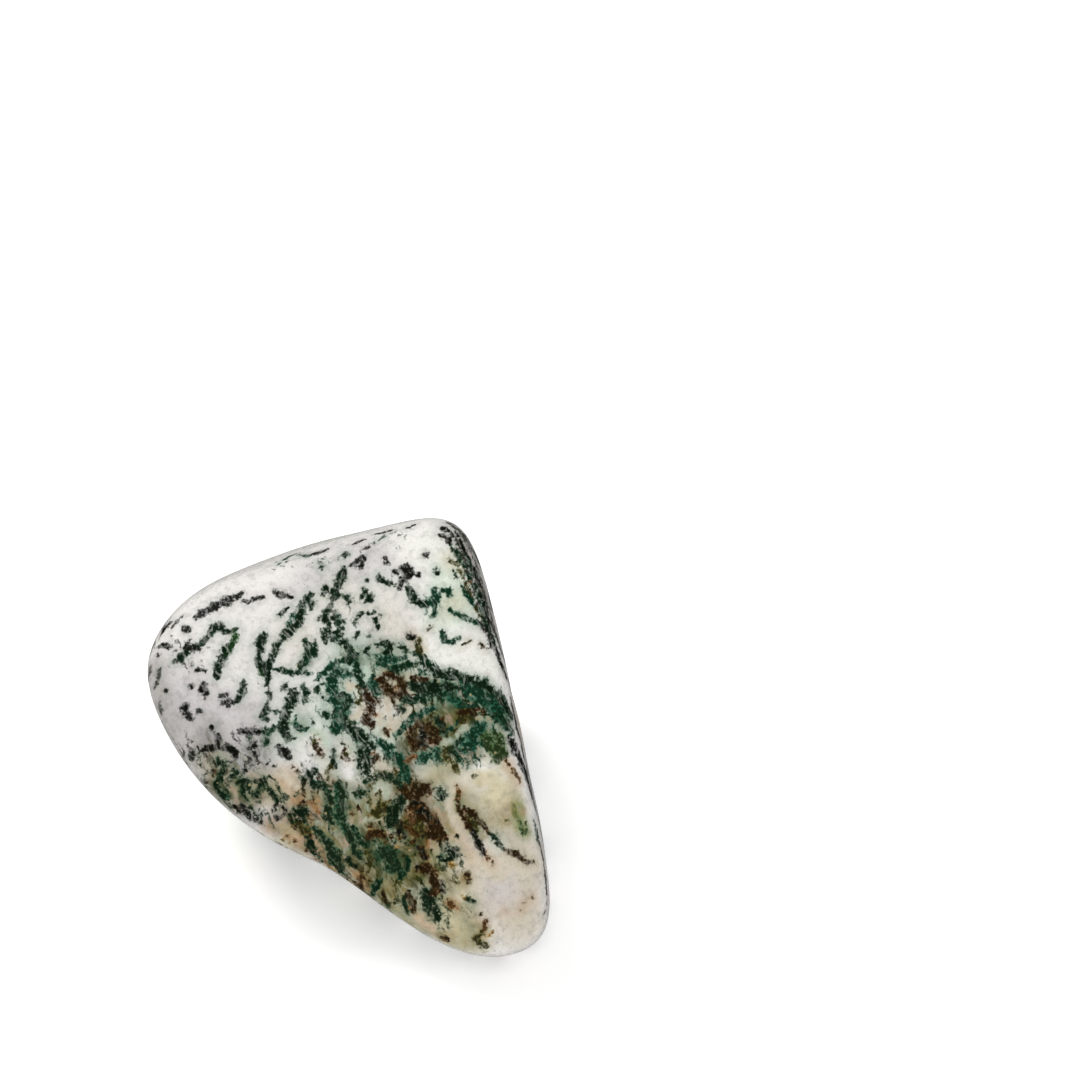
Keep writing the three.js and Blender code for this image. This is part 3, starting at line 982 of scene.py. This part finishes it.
def draw_line(canvas, rng, pixels, width, colour):
    """A line of inclusions through pixels of the photograph, which wanders less where the skin turns away."""
    curve = through([np.array(p, float) for p in pixels], STEP / PIXEL)
    drift = np.zeros(2)
    facing = 1
    path = []
    for pixel in curve:
        drift = WANDER_MEMORY * drift + rng.normal(0, WANDER * facing, 2)
        place = canvas.under(pixel + drift)
        if place is not None:
            path.append(place)
            facing = abs(canvas.outward(place).dot(canvas.view.ray(pixel)))
    draw_path(canvas, rng, path, width * PIXEL, colour)


def at_pixels(canvas, pixels):
    """The places on the skin that pixels show, without the pixels that miss it."""
    places = [canvas.under(pixel) for pixel in pixels]
    return [place for place in places if place is not None]


def paint_photograph(canvas):
    """The marks and colours that the photograph shows."""
    rng = np.random.default_rng(SEED)
    for colour, strength, width, *pixels in WASHES:
        for place in at_pixels(canvas, pixels):
            canvas.wash(place, width * PIXEL / 2, strength, colour)
    for colour, closed, width, *pixels in NETS:
        for place in at_pixels(canvas, pixels):
            canvas.knit(place, width * PIXEL / 2, closed, colour)
    for colour, width, *pixels in GAPS:
        for pixel in through([np.array(p, float) for p in pixels], width / GAP_STEPS):
            for place in at_pixels(canvas, [pixel + rng.normal(0, GAP_WANDER, 2)]):
                canvas.clear(place, width * PIXEL * rng.uniform(*GAP_RADII), colour)
    for colour, width, *pixels in LINES:
        draw_line(canvas, rng, pixels, width, colour)
    for colour, width, *pixels in DOTS:
        for place in at_pixels(canvas, pixels):
            draw_path(canvas, rng, [place], width * PIXEL, colour)


def grow(canvas, rng, start, heading, length, width, colour):
    """A branching line of inclusions that wanders over the skin and ends where the photograph shows it."""
    place = start
    path = [start]
    bend = 0
    for _ in range(int(length / STEP)):
        outward = canvas.outward(place)
        heading = unit(heading - outward * heading.dot(outward))
        bend = BEND_MEMORY * bend + rng.normal(0, BEND_SPREAD)
        heading = unit(heading + np.cross(outward, heading) * bend)
        place = canvas.onto(place + heading * STEP)
        if canvas.shown(place):
            break
        path.append(place)
        if width > FORK_LEAST_WIDTH and rng.random() < FORK_CHANCE:
            turn = rng.choice([-1, 1]) * rng.uniform(*FORK_TURNS)
            branch = unit(heading + np.cross(outward, heading) * turn)
            shorter = (length - len(path) * STEP) * rng.uniform(*FORK_LENGTHS)
            grow(canvas, rng, place, branch, shorter, width * FORK_THINNING, colour)
    draw_path(canvas, rng, path, width, colour)


def hidden_place(canvas, rng):
    """A place on the skin that the photograph doesn't show."""
    while True:
        place = canvas.onto(canvas.heart + unit(rng.normal(0, 1, 3)))
        if not canvas.shown(place):
            return place


def paint_hidden_sides(canvas):
    """Patches of colour, nets and trees of inclusions where the photograph doesn't look."""
    rng = np.random.default_rng(SEED + 1)
    for _ in range(HIDDEN_WASHES):
        colour = WASH_COLOURS[rng.integers(len(WASH_COLOURS))]
        place = hidden_place(canvas, rng)
        canvas.wash(place, rng.uniform(*WASH_RADII), rng.uniform(*WASH_STRENGTHS), colour)
    for _ in range(HIDDEN_NETS):
        colour = NET_COLOURS[rng.integers(len(NET_COLOURS))]
        place = hidden_place(canvas, rng)
        canvas.knit(place, rng.uniform(*NET_RADII), rng.uniform(*NET_CLOSEDNESS), colour)
    for _ in range(TREES):
        place = hidden_place(canvas, rng)
        colour = TREE_COLOURS[rng.integers(len(TREE_COLOURS))]
        length = rng.uniform(*TRUNK_LENGTHS)
        width = rng.uniform(*TRUNK_WIDTHS)
        grow(canvas, rng, place, rng.normal(0, 1, 3), length, width, colour)


def store_numbers(mesh, name, values):
    """Keeps a number for each point of the mesh."""
    attribute = mesh.attributes.new(name, "FLOAT", "POINT")
    attribute.data.foreach_set("value", values.astype(np.float32))


def store_colours(mesh, name, values):
    """Keeps a colour for each point of the mesh."""
    attribute = mesh.attributes.new(name, "FLOAT_COLOR", "POINT")
    opaque = np.concatenate([values, np.ones((len(values), 1))], 1)
    attribute.data.foreach_set("color", opaque.astype(np.float32).ravel())


def paint(mesh, heart, view):
    """All the marks and colours, kept as attributes that the material reads."""
    canvas = Skin(mesh, heart, view)
    paint_hidden_sides(canvas)
    paint_photograph(canvas)
    share = (HALO_STRENGTH * canvas.halo)[:, None]
    net_reach = OPEN_NET + (CLOSED_NET - OPEN_NET) * canvas.net**NET_CONTRAST
    store_numbers(mesh, "ink", canvas.ink)
    store_colours(mesh, "tint", canvas.tint)
    # The ground's colour carries every wash, the painted shade and painted highlight among them.
    store_colours(mesh, "ground", canvas.ground + (canvas.halo_tint - canvas.ground) * share)
    store_numbers(mesh, "net", net_reach)
    store_colours(mesh, "net_tint", canvas.net_tint)


class Nodes:
    """Short ways to make the nodes of a material, with sizes in millimetres."""

    def __init__(self, material):
        material.use_nodes = True
        self.tree = material.node_tree
        self.tree.nodes.clear()
        self.place = self.make("ShaderNodeTexCoord").outputs["Object"]

    def make(self, kind, **settings):
        node = self.tree.nodes.new(kind)
        for name, value in settings.items():
            setattr(node, name, value)
        return node

    def join(self, source, target):
        self.tree.links.new(source, target)

    def put(self, socket, value):
        """Sets a socket, or joins another node's output to it."""
        if isinstance(value, bpy.types.NodeSocket):
            self.join(value, socket)
        else:
            socket.default_value = value

    def attribute(self, name, output):
        return self.make("ShaderNodeAttribute", attribute_name=name).outputs[output]

    def noise(self, size, detail=2.0, roughness=0.55, place=None, output="Fac"):
        """Noise whose largest lumps are about a size, from 0 to 1."""
        node = self.make("ShaderNodeTexNoise")
        self.join(place or self.place, node.inputs["Vector"])
        node.inputs["Scale"].default_value = 1 / (size * MM)
        node.inputs["Detail"].default_value = detail
        node.inputs["Roughness"].default_value = roughness
        return node.outputs[output]

    def cells(self, size):
        """The distance from the middles of cells that are about a size."""
        node = self.make("ShaderNodeTexVoronoi")
        self.join(self.place, node.inputs["Vector"])
        node.inputs["Scale"].default_value = 1 / (size * MM)
        return node.outputs["Distance"]

    def sum(self, *terms, plus=0.0):
        """The sum of a number and of terms: each term is a value and what it is multiplied by."""
        total = plus
        for value, factor in terms:
            node = self.make("ShaderNodeMath", operation="MULTIPLY_ADD")
            self.join(value, node.inputs[0])
            node.inputs[1].default_value = factor
            self.put(node.inputs[2], total)
            total = node.outputs[0]
        return total

    def pair(self, operation, a, b):
        node = self.make("ShaderNodeMath", operation=operation)
        self.join(a, node.inputs[0])
        self.join(b, node.inputs[1])
        return node.outputs[0]

    def larger(self, a, b):
        return self.pair("MAXIMUM", a, b)

    def product(self, a, b):
        return self.pair("MULTIPLY", a, b)

    def ridge(self, value):
        """How far a noise is from its middle, which is least along winding lines."""
        node = self.make("ShaderNodeMath", operation="ABSOLUTE")
        self.join(self.sum((value, 1.0), plus=-0.5), node.inputs[0])
        return node.outputs[0]

    def ramp(self, value, start, end, least=0.0, most=1.0, eased=True):
        """A value that goes from its least to its most as another goes from a start to an end."""
        kind = "SMOOTHSTEP" if eased else "LINEAR"
        node = self.make("ShaderNodeMapRange", interpolation_type=kind)
        self.join(value, node.inputs["Value"])
        node.inputs["From Min"].default_value = start
        node.inputs["From Max"].default_value = end
        node.inputs["To Min"].default_value = least
        node.inputs["To Max"].default_value = most
        return node.outputs["Result"]

    def hue_saturation_value(self, colour):
        node = self.make("ShaderNodeSeparateColor", mode="HSV")
        self.join(colour, node.inputs["Color"])
        return node.outputs

    def blend(self, kind, share, a, b):
        node = self.make("ShaderNodeMix", data_type="RGBA", blend_type=kind)
        self.put(node.inputs["Factor"], share)
        self.put(node.inputs["A"], a)
        self.put(node.inputs["B"], b)
        return node.outputs["Result"]

    def mix(self, share, a, b):
        """From one colour to another, by a share."""
        return self.blend("MIX", share, a, b)

    def shade(self, share, colour, by):
        """A colour multiplied by another, by a share."""
        return self.blend("MULTIPLY", share, colour, by)

    def flowing(self, stretch):
        """The place in the stone, drawn out along the way the inclusions run and swirled a little."""
        swirl = self.make("ShaderNodeVectorMath", operation="MULTIPLY_ADD")
        self.join(self.noise(SWIRL_SIZE, detail=1, output="Color"), swirl.inputs[0])
        swirl.inputs[1].default_value = [SWIRL_REACH * MM] * 3
        self.join(self.place, swirl.inputs[2])
        along = self.make("ShaderNodeVectorMath", operation="DOT_PRODUCT")
        self.join(swirl.outputs[0], along.inputs[0])
        along.inputs[1].default_value = FLOW
        back = self.make("ShaderNodeVectorMath", operation="SCALE")
        back.inputs[0].default_value = FLOW
        self.join(self.sum((along.outputs["Value"], 1 / stretch - 1)), back.inputs["Scale"])
        drawn = self.make("ShaderNodeVectorMath", operation="ADD")
        self.join(swirl.outputs[0], drawn.inputs[0])
        self.join(back.outputs[0], drawn.inputs[1])
        return drawn.outputs[0]


class Agate(Nodes):
    """The material of polished chalcedony with inclusions: its parts share a few noises and attributes."""

    def __init__(self, material):
        super().__init__(material)
        self.flow = self.flowing(FLOW_STRETCH)
        self.fibres = self.flowing(FIBRE_STRETCH)
        self.grain = self.noise(0.42, detail=3, roughness=0.6)
        self.speck = self.noise(0.26, detail=2, roughness=0.6)
        self.lump = self.noise(1.1, detail=2, roughness=0.5)
        self.feather = self.noise(0.45, detail=2, roughness=0.6, place=self.fibres)
        self.streak = self.noise(0.8, detail=3, roughness=0.6, place=self.fibres)
        self.net = self.attribute("net", "Fac")
        self.net_tint = self.attribute("net_tint", "Color")
        self.painted_ground = self.attribute("ground", "Color")
        _, self.saturation, value = self.hue_saturation_value(self.painted_ground)
        self.murk = self.ramp(value, 0.65, 0.3)

    def winding(self, size, detail, place):
        """A noise that is least along winding lines."""
        return self.ridge(self.noise(size, detail=detail, roughness=0.5, place=place))

    def net_depth(self):
        """How deep in the net's strands a point is. They have rims of grains and feathers."""
        inside = self.sum(
            (self.net, 1.0),
            (self.winding(1.4, 2.5, self.flow), -1.0),
            (self.grain, 0.1),
            (self.feather, 0.3),
            (self.speck, 0.1),
            plus=-0.25,
        )
        return self.ramp(inside, -0.06, 0.12, eased=False)

    def lines(self):
        """The density of the painted lines, dots and trees, broken into grains and feathers."""
        ink = self.attribute("ink", "Fac")
        rough = self.sum(
            (self.grain, 0.9),
            (self.feather, 0.9),
            (self.cells(0.5), -0.4),
            (self.speck, 0.4),
            plus=-0.97,
        )
        return self.sum((ink, 1.0), (self.product(self.ramp(ink, 0.0, 0.2), rough), 1.0))

    def mark_depth(self, lines):
        """How deep in any inclusion a point is, from 0 outside it to about 1."""
        depth = self.larger(self.net_depth(), self.ramp(lines, 0.04, 1.0, eased=False))
        unrest = self.sum((self.speck, 1.3), (self.lump, 0.9), plus=-1.1)
        return self.sum((depth, 1.1), (self.product(self.ramp(depth, 0.0, 0.2), unrest), 1.0))

    def clear_ground(self):
        """The chalcedony between the inclusions: stained where it is coloured, streaked where it is dark."""
        patch = self.ramp(self.noise(1.6), 0.42, 0.58)
        spread = self.ramp(self.noise(1.7, detail=3), 0.4, 0.65, most=0.8)
        stain = self.product(self.ramp(self.saturation, 0.28, 0.6), spread)
        ground = self.shade(stain, self.painted_ground, self.mix(patch, OCHRE_STAIN, GREEN_STAIN))
        dark = self.product(self.murk, self.ramp(self.streak, 0.5, 0.64, most=0.9))
        ground = self.shade(dark, ground, DARK_STREAK)
        pale = self.product(self.murk, self.ramp(self.streak, 0.5, 0.4, most=0.8))
        return self.mix(pale, ground, self.mix(patch, BROWN_STREAK, GREEN_STREAK))

    def clouded(self, ground):
        """The ground with grey clouds and specks in it, and a veil of the net that lies deeper."""
        cloud = self.noise(3.2, detail=3)
        haze = self.noise(0.7, detail=3)
        ground = self.shade(self.ramp(cloud, 0.45, 0.8, most=0.22), ground, SHADOW)
        ground = self.shade(self.ramp(self.speck, 0.45, 0.75, most=0.14), ground, SHADOW)
        ground = self.shade(self.ramp(haze, 0.45, 0.75, most=0.3), ground, SHADOW)
        deeper = self.winding(1.3, 2, self.flow)
        veil = self.sum((self.net, 1.0), (deeper, -1.0), (self.grain, 0.2), plus=-0.1)
        return self.mix(self.ramp(veil, -0.04, 0.16, most=0.4), ground, self.net_tint)

    def marks(self, depth, lines, clear, ground):
        """The inclusions' colour: tinted rims with light seams, dark cores, and wisps of ground over both."""
        tint = self.mix(self.ramp(lines, 0.2, 0.5), self.net_tint, self.attribute("tint", "Color"))
        rim = self.mix(self.ramp(self.speck, 0.4, 0.7, least=0.05, most=0.4), tint, ground)
        seams = self.winding(1.5, 2, self.flow)
        rim = self.mix(self.ramp(seams, 0.03, 0.0, most=0.5), rim, clear)
        pith = self.ramp(self.cells(0.4), 0.1, 0.38)
        dark = self.product(self.ramp(depth, 0.45, 0.8), pith)
        marks = self.mix(dark, rim, self.shade(1.0, tint, DARK_CORE))
        wisps = self.ramp(self.winding(0.7, 2, self.fibres), 0.06, 0.0, most=0.45)
        return self.mix(self.product(wisps, self.ramp(self.lump, 0.45, 0.65)), marks, ground)

    def glinting(self, colour):
        """A colour with small gold nuggets, in the dark places."""
        nuggets = self.sum((self.cells(0.8), 1.0), (self.lump, 0.6), (self.grain, 0.3))
        glint = self.product(self.murk, self.ramp(nuggets, 0.56, 0.48, most=0.7))
        return self.mix(glint, colour, GOLD_GLINT)

    def polish(self, colour, covered):
        """The surface: a low, soft gloss, a little duller and lower where inclusions reach it."""
        bump = self.make("ShaderNodeBump")
        bump.inputs["Strength"].default_value = 0.25
        bump.inputs["Distance"].default_value = 0.03 * MM
        self.join(self.sum((covered, -0.6), (self.noise(0.6), 0.5)), bump.inputs["Height"])
        shader = self.make("ShaderNodeBsdfPrincipled")
        self.join(colour, shader.inputs["Base Color"])
        roughness = self.sum((self.grain, 0.16), (covered, 0.06), plus=0.18)
        self.join(roughness, shader.inputs["Roughness"])
        self.join(bump.outputs["Normal"], shader.inputs["Normal"])
        shader.inputs["IOR"].default_value = 1.54
        shader.inputs["Subsurface Weight"].default_value = 0.1
        shader.inputs["Subsurface Radius"].default_value = (1.0, 0.9, 0.8)
        shader.inputs["Subsurface Scale"].default_value = 0.4 * MM
        output = self.make("ShaderNodeOutputMaterial")
        self.join(shader.outputs["BSDF"], output.inputs["Surface"])


def agate_material():
    """Polished chalcedony: cloudy ground, grains of inclusions in it, and a low, soft gloss."""
    material = bpy.data.materials.new("polished tree agate")
    agate = Agate(material)
    lines = agate.lines()
    depth = agate.mark_depth(lines)
    clear = agate.clear_ground()
    ground = agate.clouded(clear)
    covered = agate.ramp(depth, 0.02, 0.6)
    colour = agate.mix(covered, ground, agate.marks(depth, lines, clear, ground))
    agate.polish(agate.glinting(colour), covered)
    return material


def add_object(name, data):
    made = bpy.data.objects.new(name, data)
    bpy.context.scene.collection.objects.link(made)
    return made


def add_stone():
    """The stone, and the view of it that its marks were painted from."""
    mesh, heart = stone_mesh()
    view = View(heart)
    paint(mesh, heart, view)
    set_points(mesh, get_points(mesh) * MM)
    mesh.polygons.foreach_set("use_smooth", [True] * len(mesh.polygons))
    mesh.materials.append(agate_material())
    stone = add_object("tree_agate", mesh)
    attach(stone, "root")
    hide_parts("stone")
    return view


def add_camera(view):
    data = bpy.data.cameras.new("camera")
    data.lens = LENS
    data.sensor_width = SENSOR
    data.clip_start = 0.01
    camera = add_object("camera", data)
    turned = Matrix([view.right, view.up, view.back]).transposed().to_4x4()
    camera.matrix_world = Matrix.Translation(Vector(view.eye * MM)) @ turned
    bpy.context.scene.camera = camera


def floor_material():
    """A dull white that glows a little, so that the floor is white up to the edges of the picture."""
    material = bpy.data.materials.new("white floor")
    material.use_nodes = True
    shader = material.node_tree.nodes["Principled BSDF"]
    shader.inputs["Base Color"].default_value = (0.93, 0.93, 0.93, 1)
    shader.inputs["Roughness"].default_value = 0.9
    shader.inputs["Specular IOR Level"].default_value = 0.1
    shader.inputs["Emission Color"].default_value = (1, 1, 1, 1)
    shader.inputs["Emission Strength"].default_value = 0.35
    return material


def add_floor():
    """A plain white floor, which the stone's polish doesn't show."""
    mesh = bpy.data.meshes.new("floor")
    signs = [(-1, -1), (1, -1), (1, 1), (-1, 1)]
    corners = [(x * FLOOR_REACH, y * FLOOR_REACH, 0) for x, y in signs]
    mesh.from_pydata(corners, [], [(0, 1, 2, 3)])
    mesh.materials.append(floor_material())
    floor = add_object("floor", mesh)
    floor.visible_glossy = False


def add_lamp(name, place, size, watts, mirrored):
    """A round lamp. Where it isn't mirrored, the stone's polish doesn't show it."""
    data = bpy.data.lights.new(name, "AREA")
    data.shape = "DISK"
    data.size = size
    data.energy = watts
    lamp = add_object(name, data)
    lamp.location = place
    lamp.rotation_euler = (Vector(LAMP_AIM) - Vector(place)).to_track_quat("-Z", "Y").to_euler()
    lamp.visible_glossy = mirrored


def add_room():
    """An even white light from all sides, which the stone's polish doesn't show."""
    world = bpy.data.worlds.new("room")
    world.use_nodes = True
    background = world.node_tree.nodes["Background"]
    background.inputs["Color"].default_value = (1, 1, 1, 1)
    background.inputs["Strength"].default_value = 0.5
    world.cycles_visibility.glossy = False
    bpy.context.scene.world = world


def add_light():
    """The room, a lamp above and behind the stone, a faint sheen from there, and a softer lamp in front."""
    add_room()
    add_lamp("overhead", (-0.42, 0.36, 0.82), size=0.4, watts=3.8, mirrored=False)
    add_lamp("sheen", (-0.30, 0.42, 0.84), size=1.0, watts=0.5, mirrored=True)
    add_lamp("front", (0.2, -0.50, 0.90), size=0.8, watts=2.3, mirrored=False)


view = add_stone()
add_camera(view)
add_floor()
add_light()
bpy.context.scene.view_settings.view_transform = "Standard"
